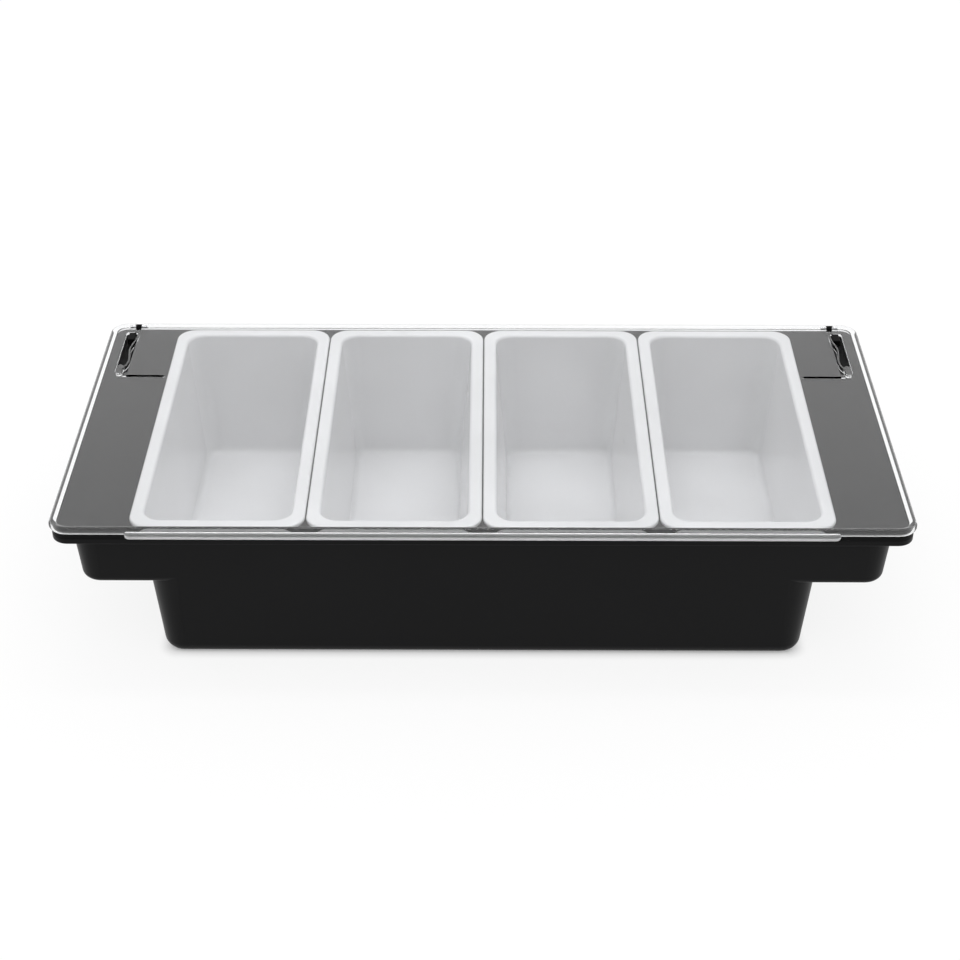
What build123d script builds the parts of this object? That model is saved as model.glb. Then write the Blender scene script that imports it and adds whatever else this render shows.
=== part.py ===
from build123d import *
from math import radians, tan
import os

# Bar garnish tray with a hinged lid.
# A stepped black tub carries a black deck, four white inserts hang in the deck, and a
# clear lid turns on cross pins held by a black bracket at each rear corner.
# Millimetres. +X runs along the tray, +Y to its rear and +Z up. The origin is the
# middle of the base, on the surface that the tray stands on.

# Lid
lid_length = 504.0
lid_depth = 250.0
overall_height = 104.0
lid_corner = 11.5
bead_radius = 2.45
panel_drop = 1.2
panel_thickness = 1.6
lid_gap = 0.3
lip_length = 412.0
lip_reach = 5.5
lip_drop = 1.6
lip_thickness = 2.0
lip_end_radius = 3.5
lip_edge = 0.6

# Slot, slit and spring arm at each rear corner of the lid, from its rear edge
slot_inner_x = 232.5
slot_width = 8.5
slot_start = 12.0
slot_length = 55.3
slot_corner = 2.0
root_strip = 2.4
slit_width = 2.5
slit_inner_x = 207.6
slit_outer_x = 239.0
slit_corner = 1.0
arm_thickness = 1.1
arm_foot = 0.65
arm_bow = 3.0
arm_droop = 1.4
arm_foot_share = 0.17
arm_bow_share = 0.39
arm_heel_share = 0.7
root_reach = 10.3
root_width = 3.9
root_inset = 1.0
root_rise = 0.5
root_corner = 1.6

# Hinge pin and bracket at each rear corner
pin_radius = 1.2
pin_length = 11.0
pin_play = 0.06
pin_end_gap = 0.3
snap_share = 0.78
ear_wall = 0.8
ear_thickness = 3.7
ear_inset = 0.25
ear_reach = 4.4
ear_gap = 0.35
notch_depth = 8.8
notch_taper = 1.1
bracket_inner_x = 232.0
bracket_width = 8.4
bracket_start = 2.6
bracket_length = 39.0
bracket_base = 1.5
bracket_corner = 1.2
post_start = 12.4
post_length = 9.6
post_inset = 2.4
post_width = 4.6
post_drop = 1.0
post_edge = 0.5
ramp_gap = 2.3
ramp_length = 7.0
ramp_width = 2.2
ramp_rise = 1.6
peg_radius = 1.4
peg_play = 0.1
peg_length = 3.4
peg_inset = 1.9
peg_first = 24.0
peg_spacing = 12.0

# Deck
deck_length = 501.0
deck_depth = 247.0
deck_corner = 10.0
deck_thickness = 2.8
deck_edge = 0.5
recess_depth = 1.7
recess_gap = 0.2
opening_gap = 0.6
rib_thickness = 2.0
rib_depth = 6.0
rib_gap = 1.0
rib_start = 214.0

# Tub
base_length = 387.8
base_depth = 214.0
base_corner = 12.5
base_edge = 8.0
wing_length = 476.6
wing_height = 57.0
wing_corner = 12.0
wing_edge = 4.5
tub_wall = 2.2
tub_draft = 5.6
flange_thickness = 2.6
flange_turn = 3.7
flange_turn_wall = 1.8
flange_edge = 0.7

# Inserts
insert_count = 4
insert_pitch = 103.25
insert_wall = 1.5
rim_length = 102.5
rim_depth = 238.0
rim_corner = 12.0
rim_width = 8.0
rim_gap = 0.3
rim_outer_edge = 1.3
rim_inner_edge = 1.9
well_height = 88.0
well_floor_length = 71.6
well_floor_depth = 207.0
well_corner = 10.5
well_floor_corner = 9.0
well_edge = 4.5

overrun = 5.0

# Levels
rear_y = lid_depth / 2
hinge_y = rear_y - bead_radius
hinge_z = overall_height - bead_radius
panel_top = overall_height - panel_drop
panel_under = panel_top - panel_thickness
rim_top = panel_under - rim_gap
deck_top = hinge_z - bead_radius - lid_gap
deck_under = deck_top - deck_thickness
flange_under = deck_under - flange_thickness
recess_floor = deck_top - recess_depth
bracket_top = recess_floor + bracket_base
slot_end = slot_start + slot_length
ear_inner_x = bracket_inner_x + ear_inset
ear_middle_x = ear_inner_x + ear_thickness / 2
draft_slope = tan(radians(tub_draft))


def tub_form(inset, lift):
    """Closed stepped block of the tub, drawn in by inset, with its floors raised by lift."""
    grow = lift * draft_slope - inset
    wing_depth = base_depth + 2 * wing_height * draft_slope
    with BuildPart() as core:
        with BuildSketch(Plane.XY.offset(lift)):
            RectangleRounded(base_length + 2 * grow, base_depth + 2 * grow, base_corner + grow)
        extrude(amount=deck_under - lift, taper=-tub_draft)
        fillet(core.faces().sort_by(Axis.Z)[0].edges(), base_edge - inset)
    with BuildPart() as wings:
        with BuildSketch(Plane.XY.offset(wing_height + lift)):
            RectangleRounded(wing_length + 2 * grow, wing_depth + 2 * grow, wing_corner + grow)
        extrude(amount=deck_under - wing_height - lift, taper=-tub_draft)
        fillet(wings.faces().sort_by(Axis.Z)[0].edges(), wing_edge - inset)
    return core.part + wings.part


def well_form(wall):
    """Closed block of an insert's well with its sides moved out, and its floor down, by wall."""
    top_length = rim_length - 2 * rim_width
    top_depth = rim_depth - 2 * rim_width
    with BuildPart() as well:
        with BuildSketch(Plane.XY.offset(rim_top - well_height - wall)):
            RectangleRounded(well_floor_length + 2 * wall, well_floor_depth + 2 * wall, well_floor_corner + wall)
        with BuildSketch(Plane.XY.offset(rim_top)):
            RectangleRounded(top_length + 2 * wall, top_depth + 2 * wall, well_corner + wall)
        loft(ruled=True)
        fillet(well.faces().sort_by(Axis.Z)[0].edges(), well_edge + wall)
    return well.part


# Outer shell: the stepped tub, open at the top, with a flange whose edge is turned down
outer_form = tub_form(0, 0)
inner_form = tub_form(tub_wall, tub_wall)

with BuildPart() as outer_shell:
    add(outer_form)
    with BuildSketch(Plane.XY.offset(flange_under)):
        RectangleRounded(deck_length, deck_depth, deck_corner)
    extrude(amount=flange_thickness)
    with BuildSketch(Plane.XY.offset(deck_under - flange_turn)):
        RectangleRounded(deck_length, deck_depth, deck_corner)
        RectangleRounded(deck_length - 2 * flange_turn_wall, deck_depth - 2 * flange_turn_wall,
                         deck_corner - flange_turn_wall, mode=Mode.SUBTRACT)
    extrude(amount=flange_turn)
    add(inner_form, mode=Mode.SUBTRACT)
    flange_bottom = outer_shell.faces().filter_by(Axis.Z).filter_by_position(
        Axis.Z, deck_under - flange_turn - flange_edge, deck_under - flange_turn + flange_edge)
    fillet(flange_bottom[0].outer_wire().edges(), flange_edge)

outer_shell.part.label = "outer_shell"

# Deck: the top frame, with an opening for each insert, a recess for each hinge bracket,
# and ribs below its ends that locate it in the tub
opening_length = rim_length - 2 * rim_width + 2 * (insert_wall + opening_gap)
opening_depth = rim_depth - 2 * rim_width + 2 * (insert_wall + opening_gap)
recess_length = bracket_length + 2 * recess_gap
recess_width = bracket_width + 2 * recess_gap
recess_x = bracket_inner_x + bracket_width / 2
recess_y = rear_y - bracket_start - bracket_length / 2
rib_length = wing_length + 2 * ((deck_under - wing_height) * draft_slope - tub_wall - rib_gap)
rib_width = base_depth + 2 * (deck_under * draft_slope - tub_wall - rib_gap)

with BuildPart() as deck:
    with BuildSketch(Plane.XY.offset(deck_under)):
        RectangleRounded(deck_length, deck_depth, deck_corner)
        with GridLocations(insert_pitch, insert_pitch, insert_count, 1):
            RectangleRounded(opening_length, opening_depth, well_corner, mode=Mode.SUBTRACT)
    extrude(amount=deck_thickness)
    rim_faces = deck.faces().filter_by(Axis.Z)
    fillet([edge for face in rim_faces for edge in face.outer_wire().edges()], deck_edge)
    with BuildSketch(Plane.XY.offset(deck_under - rib_depth)):
        RectangleRounded(rib_length, rib_width, wing_corner)
        RectangleRounded(rib_length - 2 * rib_thickness, rib_width - 2 * rib_thickness,
                         wing_corner - rib_thickness, mode=Mode.SUBTRACT)
        Rectangle(2 * rib_start, deck_depth, mode=Mode.SUBTRACT)
    extrude(amount=rib_depth)
    with BuildSketch(Plane.XY.offset(recess_floor)):
        with Locations((recess_x, recess_y), (-recess_x, recess_y)):
            RectangleRounded(recess_width, recess_length, bracket_corner)
    extrude(amount=recess_depth, mode=Mode.SUBTRACT)
    with BuildSketch(Plane.XY.offset(deck_under)):
        for side in (-1, 1):
            for step in (0, 1):
                peg_x = side * (bracket_inner_x + peg_inset)
                with Locations((peg_x, rear_y - peg_first - step * peg_spacing)):
                    Circle(peg_radius + peg_play)
    extrude(amount=deck_thickness, mode=Mode.SUBTRACT)

deck.part.label = "deck"

# Inserts: a rounded rim round a drafted well with a filleted floor
outer_well = well_form(insert_wall)
inner_well = well_form(0)

with BuildPart() as insert:
    add(outer_well)
    with BuildSketch(Plane.XY.offset(deck_top)):
        RectangleRounded(rim_length, rim_depth, rim_corner)
    extrude(amount=rim_top - deck_top)
    add(inner_well, mode=Mode.SUBTRACT)
    fillet(insert.faces().sort_by(Axis.Z)[-1].outer_wire().edges(), rim_outer_edge)
    fillet(insert.faces().sort_by(Axis.Z)[-1].inner_wires()[0].edges(), rim_inner_edge)

# Hinge bracket: a base in the deck's recess with an ear for the pin, the post and ramp
# that stand in the lid's slot, and two pegs that hold it in the deck
eye_radius = pin_radius + ear_wall
base_rear_y = rear_y - bracket_start
post_x = bracket_inner_x + post_inset + post_width / 2
post_y = rear_y - post_start - post_length / 2
ramp_rear_y = rear_y - post_start - post_length - ramp_gap
ramp_inner_x = bracket_inner_x + post_inset + post_width - ramp_width

with BuildPart() as hinge_bracket_right:
    with BuildSketch(Plane.XY.offset(recess_floor)):
        with Locations((recess_x, recess_y)):
            RectangleRounded(bracket_width, bracket_length, bracket_corner)
    extrude(amount=bracket_base)
    with BuildSketch(Plane.XY.offset(bracket_top)):
        with Locations((post_x, post_y)):
            Rectangle(post_width, post_length)
    extrude(amount=overall_height - post_drop - bracket_top)
    post_head = hinge_bracket_right.faces().sort_by(Axis.Z)[-1]
    fillet(post_head.edges(), post_edge)
    with BuildSketch(Plane.YZ.offset(ramp_inner_x)):
        with BuildLine():
            Polyline((ramp_rear_y, bracket_top), (ramp_rear_y, bracket_top + ramp_rise),
                     (ramp_rear_y - ramp_length, bracket_top), close=True)
        make_face()
    extrude(amount=ramp_width)
    with BuildSketch(Plane.YZ.offset(ear_inner_x)):
        with BuildLine():
            Polyline((base_rear_y, recess_floor), (base_rear_y, hinge_z), (hinge_y - eye_radius, hinge_z),
                     (hinge_y - ear_reach, bracket_top), (hinge_y - ear_reach, recess_floor), close=True)
        make_face()
        with Locations((hinge_y, hinge_z)):
            Circle(eye_radius)
            Circle(pin_radius, mode=Mode.SUBTRACT)
    extrude(amount=ear_thickness)
    with BuildSketch(Plane.XY.offset(recess_floor - peg_length)):
        for step in (0, 1):
            with Locations((bracket_inner_x + peg_inset, rear_y - peg_first - step * peg_spacing)):
                Circle(peg_radius)
    extrude(amount=peg_length)

hinge_bracket_right.part.label = "hinge_bracket_right"

with BuildPart() as hinge_bracket_left:
    mirror(hinge_bracket_right.part, about=Plane.YZ)

hinge_bracket_left.part.label = "hinge_bracket_left"

# Hinge pins: one through each ear, standing out on both sides of it
with BuildPart() as hinge_pin_right:
    with BuildSketch(Plane.YZ.offset(ear_middle_x - pin_length / 2)):
        with Locations((hinge_y, hinge_z)):
            Circle(pin_radius)
    extrude(amount=pin_length)

hinge_pin_right.part.label = "hinge_pin_right"

with BuildPart() as hinge_pin_left:
    mirror(hinge_pin_right.part, about=Plane.YZ)

hinge_pin_left.part.label = "hinge_pin_left"

# Spring arm of the lid: a bowed leaf from the slot's rear end to a root block on the
# narrow strip in front of the slot
arm_under = panel_under - arm_droop
arm_height = panel_top - arm_under
foot_x = slot_inner_x + arm_foot
root_x = slot_inner_x + slot_width - root_inset - root_width / 2
root_rear = slot_end - root_reach

with BuildPart() as spring_arm:
    with BuildLine(Plane.XY.offset(arm_under + arm_height / 2)) as arm_path:
        Spline((foot_x, rear_y - slot_start + arm_thickness),
               (foot_x, rear_y - slot_start - arm_foot_share * slot_length),
               (slot_inner_x + arm_bow, rear_y - slot_start - arm_bow_share * slot_length),
               (foot_x + arm_foot, rear_y - slot_start - arm_heel_share * slot_length),
               (root_x, rear_y - slot_end + root_reach / 2))
    with BuildSketch(Plane(origin=arm_path.line @ 0, z_dir=arm_path.line % 0, x_dir=(1, 0, 0))):
        Rectangle(arm_thickness, arm_height)
    sweep()
    with BuildSketch(Plane.XY.offset(arm_under)):
        with Locations((root_x, rear_y - slot_end + root_reach / 2 - root_inset / 2)):
            RectangleRounded(root_width, root_reach + root_inset, root_corner)
    extrude(amount=arm_height + root_rise)

# Lid: a flat panel inside a round bead, with a finger lip, and at each rear corner a
# notch and bores for the pin, the slot with its spring arm, and the slit
slot_x = slot_inner_x + slot_width / 2
slit_y = rear_y - slot_end - root_strip - slit_width / 2
notch_inner_x = ear_inner_x - ear_gap
notch_outer_x = ear_inner_x + ear_thickness + ear_gap
notch_front_y = rear_y - notch_depth
lip_depth = lip_reach + bead_radius
lip_y = -rear_y - lip_reach + lip_depth / 2
bore_length = pin_length + 2 * pin_end_gap

with BuildPart() as lid:
    with BuildSketch(Plane.XY.offset(panel_under)):
        RectangleRounded(lid_length - 2 * bead_radius, lid_depth - 2 * bead_radius, lid_corner - bead_radius)
    extrude(amount=panel_thickness)
    with BuildLine(Plane.XY.offset(hinge_z)) as bead_path:
        half_x = lid_length / 2 - bead_radius
        FilletPolyline((half_x, hinge_y), (half_x, -hinge_y), (-half_x, -hinge_y), (-half_x, hinge_y),
                       close=True, radius=lid_corner - bead_radius)
    bead_line = bead_path.wires()[0]
    with BuildSketch(Plane(origin=bead_line @ 0, z_dir=bead_line % 0)):
        Circle(bead_radius)
    sweep(path=bead_line)
    with BuildSketch(Plane.XY.offset(overall_height - lip_drop - lip_thickness)):
        with Locations((0, lip_y)):
            RectangleRounded(lip_length, lip_depth, lip_end_radius)
    extrude(amount=lip_thickness)
    lip_front = lid.faces().sort_by(Axis.Y)[0]
    fillet(lip_front.edges().filter_by(Axis.X), lip_edge)
    with BuildSketch(Plane.XY.offset(panel_under - overrun)):
        for side in (-1, 1):
            with Locations((side * slot_x, rear_y - slot_start - slot_length / 2)):
                RectangleRounded(slot_width, slot_length, slot_corner)
            with Locations((side * (slit_inner_x + slit_outer_x) / 2, slit_y)):
                RectangleRounded(slit_outer_x - slit_inner_x, slit_width, slit_corner)
            with BuildLine():
                Polyline((side * notch_inner_x, rear_y + overrun), (side * notch_outer_x, rear_y + overrun),
                         (side * notch_outer_x, hinge_y - bead_radius),
                         (side * (notch_outer_x - notch_taper), notch_front_y),
                         (side * notch_inner_x, notch_front_y), close=True)
            make_face()
    extrude(amount=overrun + overrun + panel_thickness, mode=Mode.SUBTRACT)
    for side in (-1, 1):
        with BuildSketch(Plane.YZ.offset(side * ear_middle_x - bore_length / 2)):
            with Locations((hinge_y, hinge_z)):
                Circle(pin_radius + pin_play)
            with Locations((hinge_y, hinge_z - bead_radius / 2)):
                Rectangle(2 * snap_share * pin_radius, bead_radius)
        extrude(amount=bore_length, mode=Mode.SUBTRACT)
    add(spring_arm.part)
    mirror(spring_arm.part, about=Plane.YZ)

lid.part.label = "lid"

os.makedirs("parts", exist_ok=True)
export_step(outer_shell.part, "parts/outer_shell.step")
export_step(deck.part, "parts/deck.step")
export_step(hinge_bracket_left.part, "parts/hinge_bracket_left.step")
export_step(hinge_bracket_right.part, "parts/hinge_bracket_right.step")
export_step(hinge_pin_left.part, "parts/hinge_pin_left.step")
export_step(hinge_pin_right.part, "parts/hinge_pin_right.step")
export_step(lid.part, "parts/lid.step")
for index in range(insert_count):
    hung = insert.part.moved(Location(((index - (insert_count - 1) / 2) * insert_pitch, 0, 0)))
    hung.label = f"insert_{index + 1}"
    export_step(hung, f"parts/{hung.label}.step")
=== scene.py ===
"""Looks of the bar garnish tray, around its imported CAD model.

The file is laid out as a Blender add-on and is run as a script. Lengths are in metres, in
the model's own frame: +X along the tray, +Y to its hinged rear edge and +Z up.
"""

from math import radians

import bpy
import numpy as np
from bpy.props import FloatProperty, FloatVectorProperty, PointerProperty
from bpy.types import Operator, Panel, PropertyGroup
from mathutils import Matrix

bl_info = {
    "name": "Bar garnish tray",
    "version": (1, 0, 0),
    "blender": (4, 5, 0),
    "location": "3D View > Sidebar > Garnish tray",
    "description": "Finishes of the bar garnish tray, with its stage, lamps and camera",
    "category": "Object",
}

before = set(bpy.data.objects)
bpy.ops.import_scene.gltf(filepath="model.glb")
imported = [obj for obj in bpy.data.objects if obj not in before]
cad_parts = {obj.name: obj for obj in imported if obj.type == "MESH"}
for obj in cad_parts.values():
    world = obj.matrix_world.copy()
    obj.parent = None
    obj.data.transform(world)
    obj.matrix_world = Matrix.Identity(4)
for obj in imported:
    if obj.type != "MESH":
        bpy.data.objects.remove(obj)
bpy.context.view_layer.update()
INSERTS = [f"insert_{number}" for number in range(1, 5)]
BRACKETS = ["hinge_bracket_left", "hinge_bracket_right"]
PINS = ["hinge_pin_left", "hinge_pin_right"]

# Places that the materials read, as in the CAD source
LIP_START = 0.1252
LIP_FADE = 0.0008
BASE_HALF = (0.1859, 0.099)

# The floor shows its own shading at the base, and its plain white this far away from it
CONTACT_REACH = 0.014
CONTACT_WHITE = 0.1
OPEN_WHITE = 0.85

PLASTIC_IOR = 1.5
ACRYLIC_IOR = 1.49
WHITE = (1.0, 1.0, 1.0, 1.0)


# Shader values

class Value:
    """A number in a shader. Sums on it add Math nodes, and plain numbers go in as they are."""

    def __init__(self, paint, socket):
        self.paint = paint
        self.socket = socket

    def math(self, operation, *values):
        """The Math node of that operation on these values."""
        return self.paint.make("ShaderNodeMath", {"operation": operation}, dict(enumerate(values)))

    def __add__(self, other):
        return self.math("ADD", self, other)

    def __sub__(self, other):
        return self.math("SUBTRACT", self, other)

    def __rsub__(self, other):
        return self.math("SUBTRACT", other, self)

    def __mul__(self, other):
        return self.math("MULTIPLY", self, other)

    def __pow__(self, other):
        return self.math("POWER", self, other)

    def __abs__(self):
        return self.math("ABSOLUTE", self)

    def most(self, other):
        """The larger of the two."""
        return self.math("MAXIMUM", self, other)

    def rise(self, low, high, start=0.0, end=1.0):
        """A smooth step from start, where the value is at or under low, to end, at or over high."""
        return self.paint.make("ShaderNodeMapRange", {"interpolation_type": "SMOOTHSTEP"},
                               {0: self, 1: low, 2: high, 3: start, 4: end})


class Paint:
    """A material, or the world, and its node tree."""

    def __init__(self, owner):
        owner.use_nodes = True
        self.owner = owner
        self.tree = owner.node_tree
        self.tree.nodes.clear()

    def make(self, kind, settings=None, sockets=None, output=0):
        """Adds a node of that type: its settings first, then its sockets' values or links."""
        node = self.tree.nodes.new(kind)
        for name, value in (settings or {}).items():
            setattr(node, name, value)
        for name, value in (sockets or {}).items():
            if isinstance(value, Value):
                self.tree.links.new(value.socket, node.inputs[name])
            else:
                node.inputs[name].default_value = value
        return Value(self, node.outputs[output])

    def place(self):
        """The Object coordinates, whole and as x, y and z."""
        whole = self.make("ShaderNodeTexCoord", output="Object")
        split = [self.make("ShaderNodeSeparateXYZ", {}, {0: whole}, axis) for axis in "XYZ"]
        return whole, *split

    def noise(self, place, scale, detail=2.0, stretch=(1.0, 1.0, 1.0)):
        """Noise from 0 to 1 with that many grains to the metre, stretched along the axes."""
        mapped = self.make("ShaderNodeMapping", {}, {"Vector": place, "Scale": stretch})
        return self.make("ShaderNodeTexNoise", {}, {"Vector": mapped, "Scale": scale, "Detail": detail})

    def tint(self, dark, light, share):
        """The colour between dark and light at that share."""
        return self.make("ShaderNodeMix", {"data_type": "RGBA"},
                         {0: share, 6: (*dark, 1.0), 7: (*light, 1.0)}, 2)

    def bump(self, height, distance, strength=1.0):
        """A Bump node for a height from 0 to 1 that stands for that distance."""
        return self.make("ShaderNodeBump", {}, {"Height": height, "Distance": distance,
                                                "Strength": strength})

    def seen(self):
        """1 for rays from the camera, a mirror or clear plastic, and 0 for light on surfaces."""
        rays = [self.make("ShaderNodeLightPath", {}, {}, ray)
                for ray in ("Is Camera Ray", "Is Glossy Ray", "Is Transmission Ray")]
        return rays[0].most(rays[1]).most(rays[2])

    def surface(self, shader):
        """Makes shader the material's or world's surface."""
        kind = "World" if isinstance(self.owner, bpy.types.World) else "Material"
        node = self.tree.nodes.new(f"ShaderNodeOutput{kind}")
        self.tree.links.new(shader.socket, node.inputs["Surface"])


def new_paint(name):
    """An empty material of that name."""
    return Paint(bpy.data.materials.new(name))


def dress(names, material):
    """Gives the material to the CAD nodes of those names."""
    for name in names:
        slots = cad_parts[name].data.materials
        slots.clear()
        slots.append(material)


def moulded_plastic(name, colour, grain_size, grain_height, roughness, shine, polish=0.0):
    """Moulded plastic: a fine grain as bump, and a slow drift of gloss and colour over it.

    Polish is the share of a smooth coat, which gives sharp highlights at rounded edges.
    """
    paint = new_paint(name)
    whole, _, _, _ = paint.place()
    grain = paint.noise(whole, 1.0 / grain_size, 3.0)
    drift = paint.noise(whole, 14.0, 2.0)
    scuff = paint.noise(whole, 90.0, 4.0, (1.0, 1.0, 3.0))
    darker, lighter = 0.86, 1.1
    drifted = paint.tint([part * darker for part in colour],
                         [min(part * lighter, 1.0) for part in colour], drift)
    drift_share, scuff_share = 0.08, 0.05
    gloss = drift * drift_share + scuff * scuff_share + (roughness - (drift_share + scuff_share) / 2)
    paint.surface(paint.make("ShaderNodeBsdfPrincipled", {}, {
        "Base Color": drifted, "Roughness": gloss, "IOR": PLASTIC_IOR, "Specular IOR Level": shine,
        "Coat Weight": polish, "Coat Roughness": 0.06,
        "Normal": paint.bump(grain, grain_height, 0.5)}))
    return paint.owner


def turned_steel(name, colour):
    """Ground steel wire: fine rings round the pin's own axis, along X."""
    paint = new_paint(name)
    whole, _, _, _ = paint.place()
    rings = paint.noise(whole, 900.0, 2.0, (4.0, 0.2, 0.2))
    paint.surface(paint.make("ShaderNodeBsdfPrincipled", {}, {
        "Base Color": (*colour, 1.0), "Metallic": 1.0, "Roughness": rings * 0.16 + 0.2,
        "Normal": paint.bump(rings, 0.00001, 0.4)}))
    return paint.owner


def clear_plastic(name, colour, roughness, frost):
    """Clear moulded plastic that bends and mirrors light, frosted on the finger lip.

    Light on its way to what is under the lid passes straight through it, so the inserts
    aren't left in the dark.
    """
    paint = new_paint(name)
    whole, _, y, _ = paint.place()
    haze = paint.noise(whole, 60.0, 3.0)
    lip = (0.0 - y).rise(LIP_START, LIP_START + LIP_FADE)
    solid = paint.make("ShaderNodeBsdfPrincipled", {}, {
        "Base Color": (*colour, 1.0), "Roughness": haze * 0.02 + lip * frost + roughness, "IOR": ACRYLIC_IOR,
        "Transmission Weight": 1.0})
    through = paint.make("ShaderNodeBsdfTransparent", {}, {"Color": (*colour, 1.0)})
    shadow = paint.make("ShaderNodeLightPath", {}, {}, "Is Shadow Ray")
    paint.surface(paint.make("ShaderNodeMixShader", {}, {0: shadow, 1: solid, 2: through}))
    return paint.owner


# Settings

class GARNISH_finishes(PropertyGroup):
    """Colours of the tray's finishes."""
    tub: FloatVectorProperty(
        name="Tub", description="Colour of the black tub and deck", subtype="COLOR",
        size=3, min=0.0, max=1.0, default=(0.0045, 0.0045, 0.0048))
    bracket: FloatVectorProperty(
        name="Brackets", description="Colour of the hinge brackets", subtype="COLOR",
        size=3, min=0.0, max=1.0, default=(0.004, 0.004, 0.004))
    insert: FloatVectorProperty(
        name="Inserts", description="Colour of the four inserts", subtype="COLOR",
        size=3, min=0.0, max=1.0, default=(0.86, 0.86, 0.87))
    pin: FloatVectorProperty(
        name="Pins", description="Colour of the hinge pins", subtype="COLOR",
        size=3, min=0.0, max=1.0, default=(0.55, 0.55, 0.56))
    lid: FloatVectorProperty(
        name="Lid", description="Colour of the clear lid", subtype="COLOR",
        size=3, min=0.0, max=1.0, default=(0.98, 0.985, 0.99))


class GARNISH_studio(PropertyGroup):
    """Camera and lamps."""
    lens: FloatProperty(name="Lens", description="Focal length on a 36 mm sensor", default=75.38, min=10.0)
    camera_place: FloatVectorProperty(
        name="Camera", description="Place of the camera", subtype="TRANSLATION", unit="LENGTH",
        size=3, default=(0.0034, -1.0806, 0.7547))
    camera_tilt: FloatProperty(
        name="Tilt", description="Angle of the view below the horizon", subtype="ANGLE",
        default=radians(32.82))
    camera_turn: FloatProperty(
        name="Turn", description="Angle of the view to the left", subtype="ANGLE",
        default=radians(0.285))
    sky: FloatProperty(
        name="Sky", description="Level of the even light from all round", default=1.12, min=0.0)
    overhead: FloatProperty(
        name="Overhead", description="Power of the soft lamp overhead", unit="POWER", default=4.5, min=0.0)


# Pieces

class GARNISH_OT_dress_tub(Operator):
    """Gives the outer shell and the deck their black moulded plastic"""
    bl_idname = "garnish.dress_tub"
    bl_label = "Tub and deck"

    def execute(self, context):
        colour = context.scene.garnish_finishes.tub
        dress(["outer_shell"], moulded_plastic(
            "black_tub", colour, grain_size=0.0005, grain_height=0.00002, roughness=0.36, shine=0.09))
        dress(["deck"], moulded_plastic(
            "black_deck", colour, grain_size=0.0005, grain_height=0.00002, roughness=0.4, shine=0.05))
        return {"FINISHED"}


class GARNISH_OT_dress_hinges(Operator):
    """Gives the brackets their fine black plastic and the pins their steel"""
    bl_idname = "garnish.dress_hinges"
    bl_label = "Hinges"

    def execute(self, context):
        finishes = context.scene.garnish_finishes
        dress(BRACKETS, moulded_plastic(
            "black_bracket", finishes.bracket, grain_size=0.0004, grain_height=0.00001,
            roughness=0.42, shine=0.04))
        dress(PINS, turned_steel("pin_steel", finishes.pin))
        return {"FINISHED"}


class GARNISH_OT_dress_inserts(Operator):
    """Gives the four inserts their white satin plastic"""
    bl_idname = "garnish.dress_inserts"
    bl_label = "Inserts"

    def execute(self, context):
        colour = context.scene.garnish_finishes.insert
        dress(INSERTS, moulded_plastic(
            "white_insert", colour, grain_size=0.0009, grain_height=0.000006,
            roughness=0.3, shine=0.3, polish=0.7))
        return {"FINISHED"}


class GARNISH_OT_dress_lid(Operator):
    """Gives the lid its clear plastic"""
    bl_idname = "garnish.dress_lid"
    bl_label = "Lid"

    def execute(self, context):
        colour = context.scene.garnish_finishes.lid
        dress(["lid"], clear_plastic("clear_lid", colour, roughness=0.0, frost=0.35))
        return {"FINISHED"}


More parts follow.
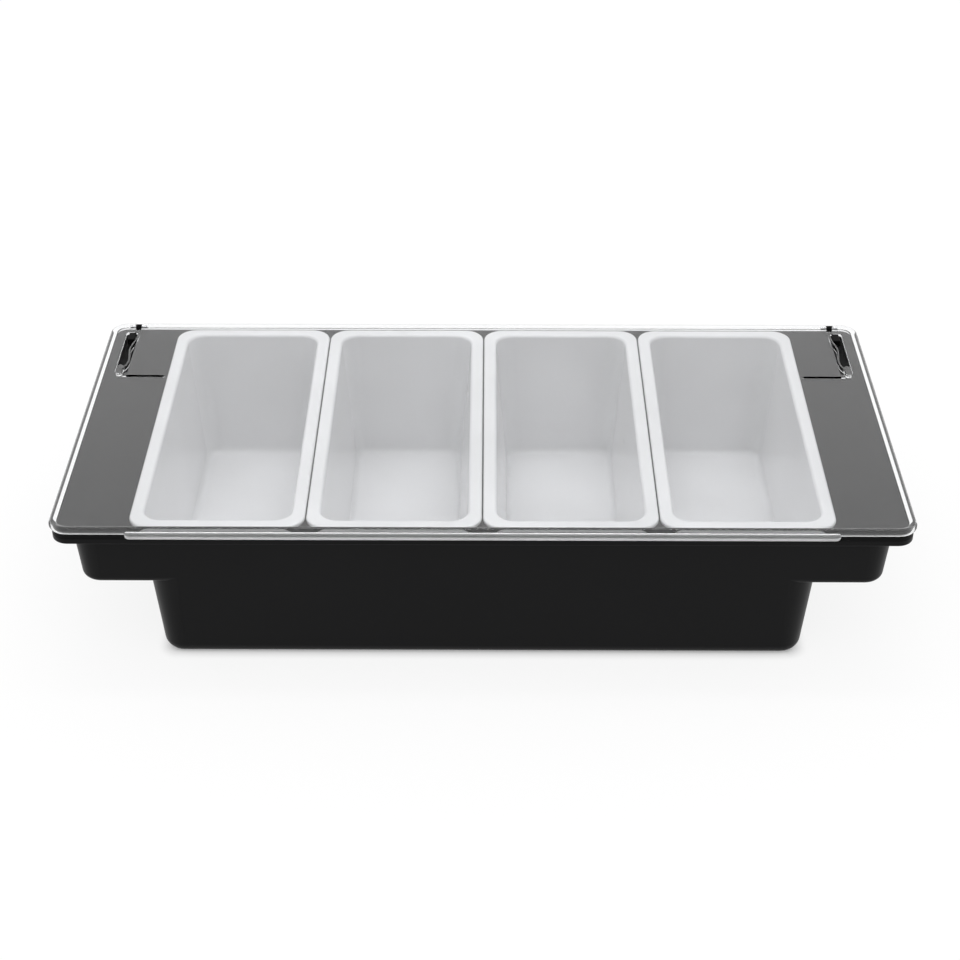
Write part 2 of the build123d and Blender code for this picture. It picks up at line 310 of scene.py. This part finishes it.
class GARNISH_OT_make_stage(Operator):
    """Makes the floor, the even white surround, the overhead lamp and the camera"""
    bl_idname = "garnish.make_stage"
    bl_label = "Stage"

    def execute(self, context):
        studio = context.scene.garnish_studio
        self.floor()
        self.surround(studio)
        self.lamp("overhead_lamp", (0.0, 0.25, 1.7), (1.3, 0.22), studio.overhead)
        self.camera(context, studio)
        context.scene.view_settings.view_transform = "Standard"
        return {"FINISHED"}

    def floor(self):
        """A flat square sheet at the level that the tray stands on.

        Away from the tray it looks plain white. Near the base its own shading shows, with
        the dark line of contact.
        """
        reach, cells = 4.0, 8
        row = cells + 1
        steps = np.linspace(-reach, reach, row)
        grid_x, grid_y = np.meshgrid(steps, steps)
        points = np.stack([grid_x, grid_y, np.zeros_like(grid_x)], axis=-1).reshape(-1, 3)
        first = (np.arange(cells)[:, None] * row + np.arange(cells)).reshape(-1)
        faces = np.stack([first, first + 1, first + row + 1, first + row], axis=-1)
        mesh = bpy.data.meshes.new("floor")
        mesh.from_pydata(points.tolist(), [], faces.tolist())
        paint = new_paint("floor")
        _, x, y, _ = paint.place()
        beside = (abs(x) - BASE_HALF[0]).most(0.0) ** 2.0 + (abs(y) - BASE_HALF[1]).most(0.0) ** 2.0
        clear = (beside ** 0.5).rise(0.0, CONTACT_REACH, CONTACT_WHITE, OPEN_WHITE)
        lit = paint.make("ShaderNodeBsdfDiffuse", {}, {"Color": (0.9, 0.9, 0.9, 1.0)})
        plain = paint.make("ShaderNodeEmission", {}, {"Color": WHITE, "Strength": 1.0})
        paint.surface(paint.make("ShaderNodeMixShader", {}, {0: paint.seen() * clear, 1: lit, 2: plain}))
        mesh.materials.append(paint.owner)
        sheet = bpy.data.objects.new("floor", mesh)
        bpy.context.scene.collection.objects.link(sheet)

    def surround(self, studio):
        """An even sky, which the camera, mirrors and glass see as white."""
        world = bpy.data.worlds.new("surround")
        bpy.context.scene.world = world
        paint = Paint(world)
        even = paint.make("ShaderNodeBackground", {}, {"Color": WHITE, "Strength": studio.sky})
        white = paint.make("ShaderNodeBackground", {}, {"Color": WHITE, "Strength": 1.0})
        paint.surface(paint.make("ShaderNodeMixShader", {}, {0: paint.seen(), 1: even, 2: white}))

    def lamp(self, name, place, size, power):
        """A soft rectangular lamp at that place, facing straight down."""
        data = bpy.data.lights.new(name, "AREA")
        data.shape = "RECTANGLE"
        data.size, data.size_y = size
        data.energy = power
        lamp = bpy.data.objects.new(name, data)
        lamp.location = place
        bpy.context.scene.collection.objects.link(lamp)

    def camera(self, context, studio):
        """The photograph's view."""
        data = bpy.data.cameras.new("camera")
        data.lens = studio.lens
        data.sensor_width = 36.0
        data.clip_start, data.clip_end = 0.05, 20.0
        camera = bpy.data.objects.new("camera", data)
        camera.location = studio.camera_place
        camera.rotation_euler = (radians(90.0) - studio.camera_tilt, 0.0, studio.camera_turn)
        context.scene.collection.objects.link(camera)
        context.scene.camera = camera


PIECES = (GARNISH_OT_dress_tub, GARNISH_OT_dress_hinges, GARNISH_OT_dress_inserts, GARNISH_OT_dress_lid,
          GARNISH_OT_make_stage)


class GARNISH_PT_tray(Panel):
    """The tray's pieces and settings"""
    bl_idname = "GARNISH_PT_tray"
    bl_label = "Garnish tray"
    bl_space_type = "VIEW_3D"
    bl_region_type = "UI"
    bl_category = "Garnish tray"

    def draw(self, context):
        scene = context.scene
        for settings in (scene.garnish_finishes, scene.garnish_studio):
            for name in settings.__annotations__:
                self.layout.prop(settings, name)
        for piece in PIECES:
            self.layout.operator(piece.bl_idname)


CLASSES = (GARNISH_finishes, GARNISH_studio, *PIECES, GARNISH_PT_tray)


def register():
    """Registers the classes and hangs the settings on the scene."""
    for kind in CLASSES:
        bpy.utils.register_class(kind)
    bpy.types.Scene.garnish_finishes = PointerProperty(type=GARNISH_finishes)
    bpy.types.Scene.garnish_studio = PointerProperty(type=GARNISH_studio)


def unregister():
    """Takes the settings and the classes away again."""
    del bpy.types.Scene.garnish_studio
    del bpy.types.Scene.garnish_finishes
    for kind in reversed(CLASSES):
        bpy.utils.unregister_class(kind)


def main():
    """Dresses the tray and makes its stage."""
    register()
    bpy.ops.garnish.dress_tub()
    bpy.ops.garnish.dress_hinges()
    bpy.ops.garnish.dress_inserts()
    bpy.ops.garnish.dress_lid()
    bpy.ops.garnish.make_stage()


if __name__ == "__main__":
    main()
